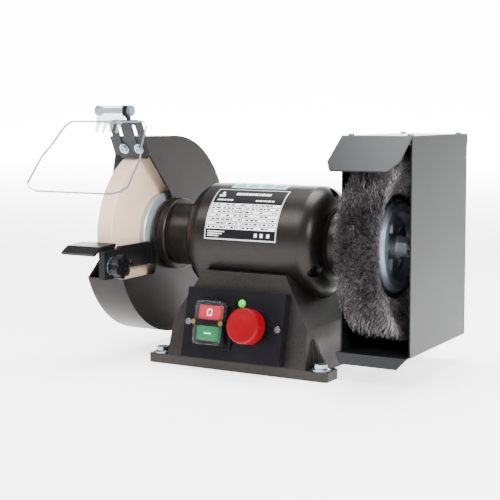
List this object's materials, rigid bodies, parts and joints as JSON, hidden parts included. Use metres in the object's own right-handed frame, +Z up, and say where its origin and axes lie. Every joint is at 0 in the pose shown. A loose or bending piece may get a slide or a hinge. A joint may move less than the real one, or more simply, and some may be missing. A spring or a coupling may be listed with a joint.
{
  "type": "bench grinder",
  "caption": "Bench grinder: guarded grinding wheel with tool rest and eye shield on the left, boxed wire brush on the right, switch panel on a cast foot.",
  "frame": {"origin": "middle of the foot's underside, on the bench, under the middle of the motor", "axes": "+X along the spindle towards the wire brush, -Y towards the operator, +Z up"},
  "size_m": [0.4237, 0.255, 0.2815],
  "materials": {
    "grey_paint": "warm dark grey metallic paint, satin",
    "black_powder": "black powder coat",
    "bracket_grey": "dark grey powder coat",
    "panel_charcoal": "charcoal, fine texture",
    "black_plastic": "black moulded plastic",
    "red_plastic": "red moulded plastic",
    "green_plastic": "green moulded plastic",
    "lamp_green": "bright green lens",
    "clear_boot": "clear flexible cover",
    "clear_sheet": "clear polycarbonate",
    "zinc_steel": "bright zinc plate",
    "bare_steel": "ground steel",
    "dark_steel": "blackened steel",
    "brass_plate": "passivated zinc, yellow",
    "cream_abrasive": "cream vitrified abrasive",
    "blotter_blue": "card blotter",
    "wire": "crimped steel wire",
    "laminations": "stamped electrical steel",
    "copper_wire": "enamelled copper winding",
    "capacitor_can": "drawn can",
    "terminal_cream": "moulded block",
    "plate_print": "printed aluminium plate",
    "sticker_film": "pale printed film"
  },
  "bodies": {
    "grinder_body": {"pedestal": "grey_paint", "base_plate": "dark_steel", "base_plate_screws": "zinc_steel", "foot_bolts": "zinc_steel", "control_panel": "panel_charcoal", "panel_screws": "zinc_steel", "switch_housing": "black_plastic", "switch_boot": "clear_boot", "switch_boot_bar": "black_plastic", "switch_screws": "brass_plate", "switch_contacts": "brass_plate", "pilot_lamp": "lamp_green", "estop_collar": "black_plastic", "estop_contacts": "terminal_cream", "cable_gland": "black_plastic", "run_capacitor": "capacitor_can", "capacitor_clip": "zinc_steel", "terminal_block": "terminal_cream", "motor_housing": "grey_paint", "left_end_shield": "grey_paint", "right_end_shield": "grey_paint", "end_shield_screws": "dark_steel", "stator_core": "laminations", "stator_windings": "copper_wire", "bearing_outer_rings": "bare_steel", "nameplate": "plate_print", "info_sticker": "sticker_film", "wheel_guard": "grey_paint", "guard_cover": "grey_paint", "guard_screws": "zinc_steel", "guard_mount_screws": "zinc_steel", "rest_arm": "black_powder", "rest_arm_screws": "zinc_steel", "bracket_screws": "zinc_steel", "brush_box": "grey_paint", "brush_box_cover": "grey_paint", "brush_box_screws": "zinc_steel"},
    "spindle": {"rotor": "laminations", "spindle_shaft": "bare_steel", "bearing_inner_rings": "bare_steel", "inner_flange": "zinc_steel", "grinding_wheel": "cream_abrasive", "wheel_blotters": "blotter_blue", "outer_flange": "zinc_steel", "spindle_nuts": "zinc_steel", "brush_discs": "zinc_steel", "wire_brush": "wire"},
    "ball_cages": {"bearing_balls": "bare_steel"},
    "stop_key": {"stop_button": "red_plastic"},
    "start_key": {"start_button": "green_plastic"},
    "estop_plunger": {"estop_stem": "black_plastic"},
    "estop_head": {"estop_cap": "red_plastic"},
    "rest_slider": {"rest_bolt": "zinc_steel"},
    "rest_plate": {"tool_rest": "black_powder"},
    "rest_clamp": {"rest_knob": "black_plastic"},
    "shield_arm": {"shield_bracket": "bracket_grey", "shield_hinge_bolt": "zinc_steel", "hinge_block": "black_plastic"},
    "shield": {"shield_clamp": "clear_boot", "eye_shield": "clear_sheet"}
  },
  "joints": [
    {"name": "spindle_spin", "type": "hinge", "parent": "grinder_body", "child": "spindle", "pos_m": [0, 0, 0.134], "axis": [1, 0, 0], "continuous": true},
    {"name": "cage_spin", "type": "hinge", "parent": "grinder_body", "child": "ball_cages", "pos_m": [0, 0, 0.134], "axis": [1, 0, 0], "continuous": true},
    {"name": "stop_press", "type": "slide", "parent": "grinder_body", "child": "stop_key", "axis": [0, 0.9736, -0.2284], "range_m": [0, 0.003], "stiffness_N_per_m": 600},
    {"name": "start_press", "type": "slide", "parent": "grinder_body", "child": "start_key", "axis": [0, 0.9736, -0.2284], "range_m": [0, 0.003], "stiffness_N_per_m": 600},
    {"name": "estop_push", "type": "slide", "parent": "grinder_body", "child": "estop_plunger", "axis": [0, 0.9736, -0.2284], "range_m": [0, 0.0045]},
    {"name": "estop_twist", "type": "hinge", "parent": "estop_plunger", "child": "estop_head", "pos_m": [0.026, -0.08494, 0.05003], "axis": [0, -0.9736, 0.2284], "range_deg": [-35, 0], "stiffness_Nm_per_rad": 0.05},
    {"name": "rest_slide", "type": "slide", "parent": "grinder_body", "child": "rest_slider", "axis": [0, -1, 0], "range_m": [-0.001, 0.006]},
    {"name": "rest_tilt", "type": "hinge", "parent": "rest_slider", "child": "rest_plate", "pos_m": [-0.135, -0.116, 0.108], "axis": [1, 0, 0], "range_deg": [0, 25]},
    {"name": "knob_turn", "type": "hinge", "parent": "rest_slider", "child": "rest_clamp", "pos_m": [-0.12, -0.116, 0.108], "axis": [1, 0, 0], "range_deg": [-180, 180]},
    {"name": "bracket_slide", "type": "slide", "parent": "grinder_body", "child": "shield_arm", "axis": [0, -0.4226, 0.9063], "range_m": [-0.0015, 0.003]},
    {"name": "shield_tilt", "type": "hinge", "parent": "shield_arm", "child": "shield", "pos_m": [-0.165, -0.075, 0.2755], "axis": [1, 0, 0], "range_deg": [-60, 8]}
  ],
  "couplings": [
    {"joint": "cage_spin", "follows": "spindle_spin", "ratio": 0.418}
  ]
}
